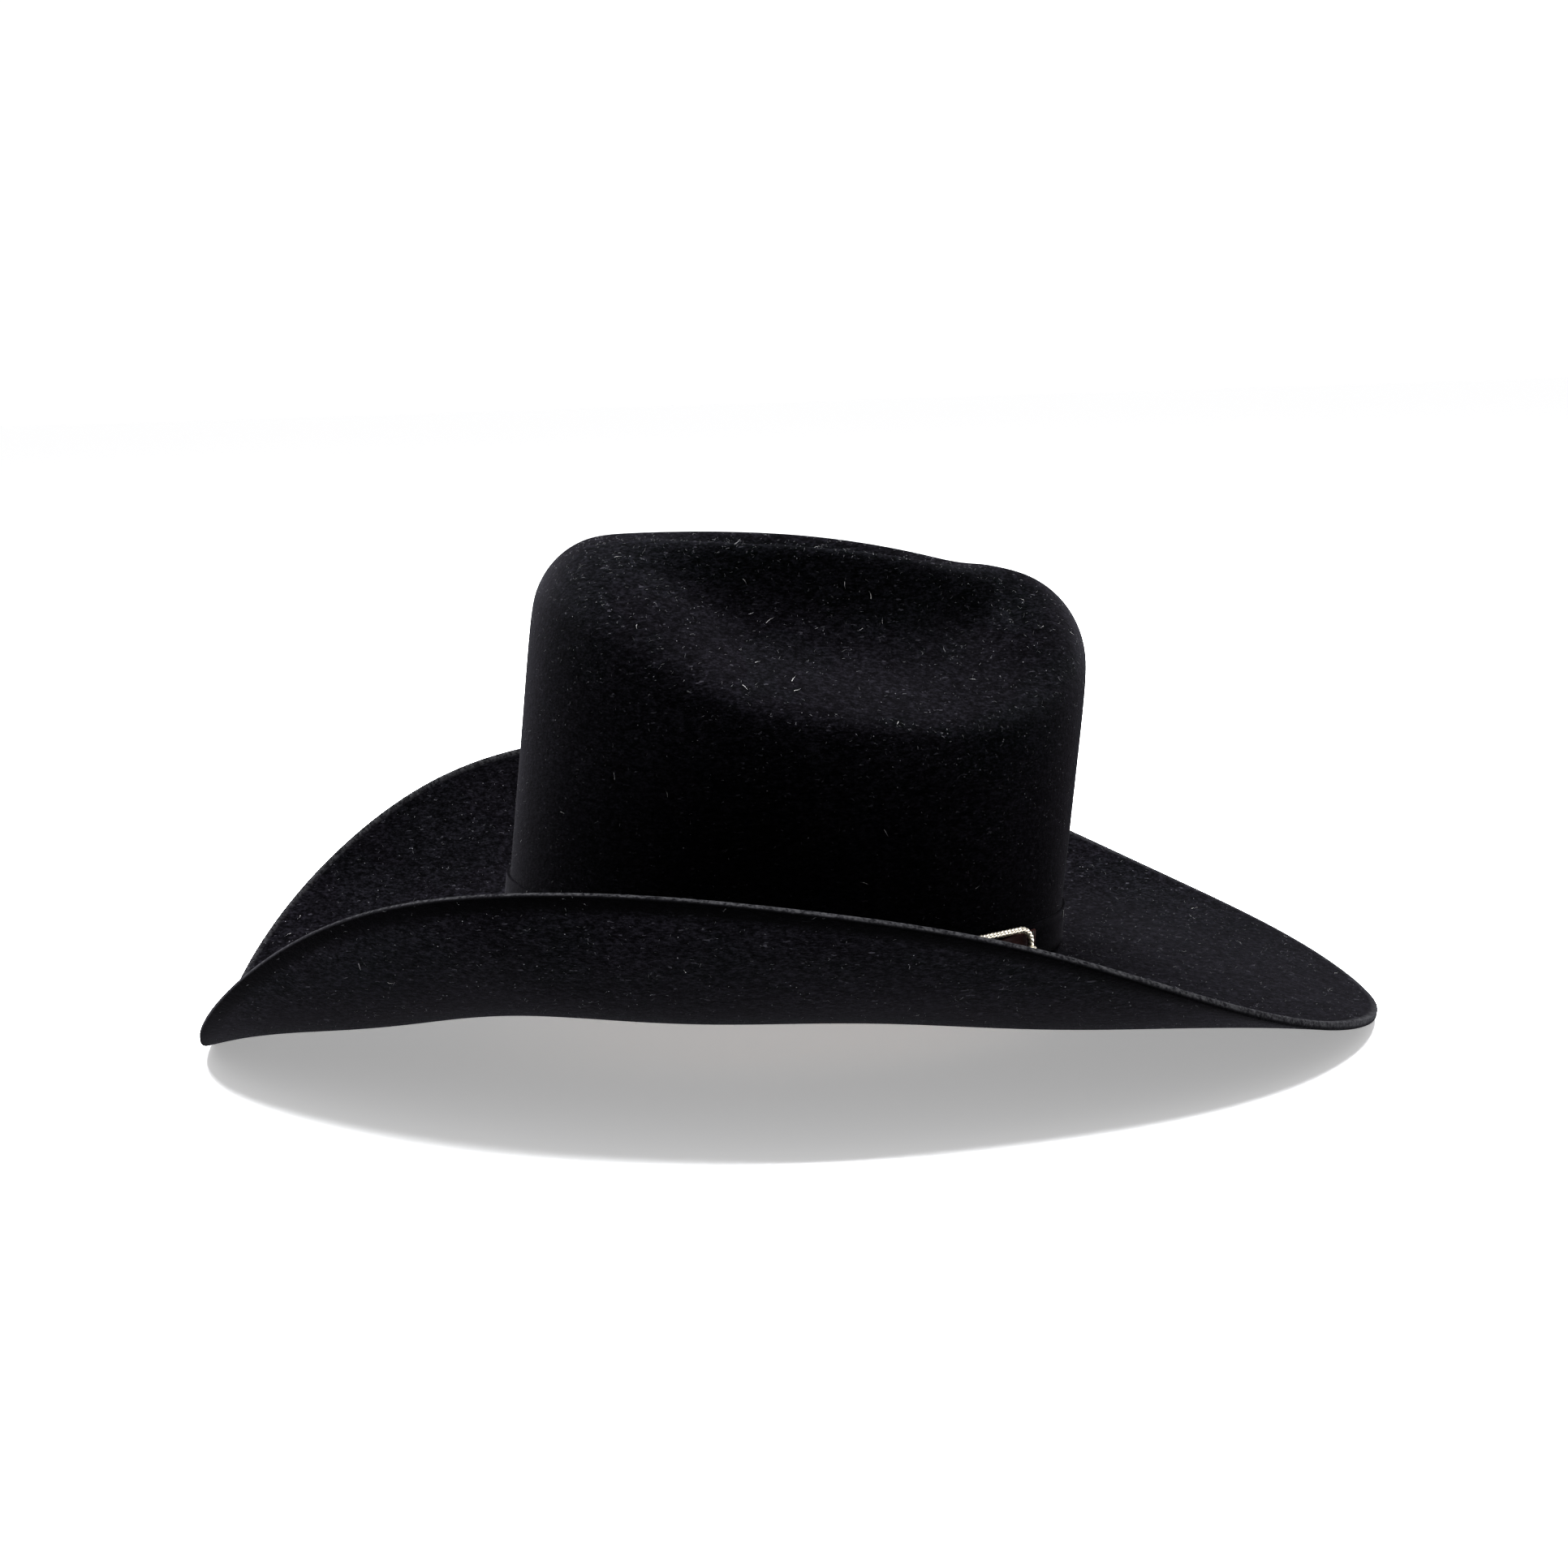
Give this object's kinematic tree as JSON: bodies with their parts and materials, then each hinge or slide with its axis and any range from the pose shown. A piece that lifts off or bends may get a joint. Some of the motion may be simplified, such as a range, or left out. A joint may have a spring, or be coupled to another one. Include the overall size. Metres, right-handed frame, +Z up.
{
  "type": "cowboy hat",
  "caption": "Black felt western hat with a creased crown, curled brim, felt band with a small silver buckle, leather sweatband and satin lining.",
  "frame": {"origin": "under the middle of the brim's outline, on the surface the hat stands on", "axes": "+X to the wearer's front, +Y to the wearer's left, +Z up"},
  "size_m": [0.4206, 0.3778, 0.1768],
  "materials": {
    "black_felt": "brushed fur felt",
    "band_felt": "brushed fur felt",
    "black_thread": "thread",
    "silver_metal": "antiqued silver, cast rope pattern",
    "strap_leather": "dark red-brown leather",
    "brown_leather": "smooth sweatband leather",
    "reed_plastic": "plain",
    "tape_cloth": "woven tape",
    "tan_thread": "thread",
    "ribbon_satin": "satin ribbon",
    "lining_satin": "satin",
    "piping_satin": "satin piping"
  },
  "bodies": {
    "hat": {"felt_body": "black_felt", "hat_band": "band_felt", "band_tacks": "black_thread", "buckle_tab": "strap_leather", "strap_billet": "strap_leather", "strap_tip": "silver_metal", "tip_rivets": "silver_metal", "strap_stitches": "black_thread", "sweatband": "brown_leather", "sweatband_reed": "reed_plastic", "reed_tape": "tape_cloth", "sweatband_stitches": "tan_thread", "seam_backing": "brown_leather", "bow_loops": "ribbon_satin", "bow_knot": "ribbon_satin", "lining_side": "lining_satin", "lining_tip": "lining_satin", "lining_piping": "piping_satin"},
    "buckle": {"buckle_frame": "silver_metal"},
    "prong": {"buckle_prong": "silver_metal"},
    "keeper": {"keeper_loop": "silver_metal"}
  },
  "joints": [
    {"name": "buckle_hinge", "type": "hinge", "parent": "hat", "child": "buckle", "pos_m": [0.06198, -0.06956, 0.03417], "axis": [-0.0521, 0.0598, -0.9969], "range_deg": [0, 15]},
    {"name": "prong_hinge", "type": "hinge", "parent": "buckle", "child": "prong", "pos_m": [0.06198, -0.06956, 0.03417], "axis": [-0.0521, 0.0598, -0.9969], "range_deg": [0, 12]},
    {"name": "keeper_slide", "type": "slide", "parent": "hat", "child": "keeper", "axis": [0.8848, 0.4656, -0.0183], "range_m": [-0.0025, 0.0025]}
  ]
}
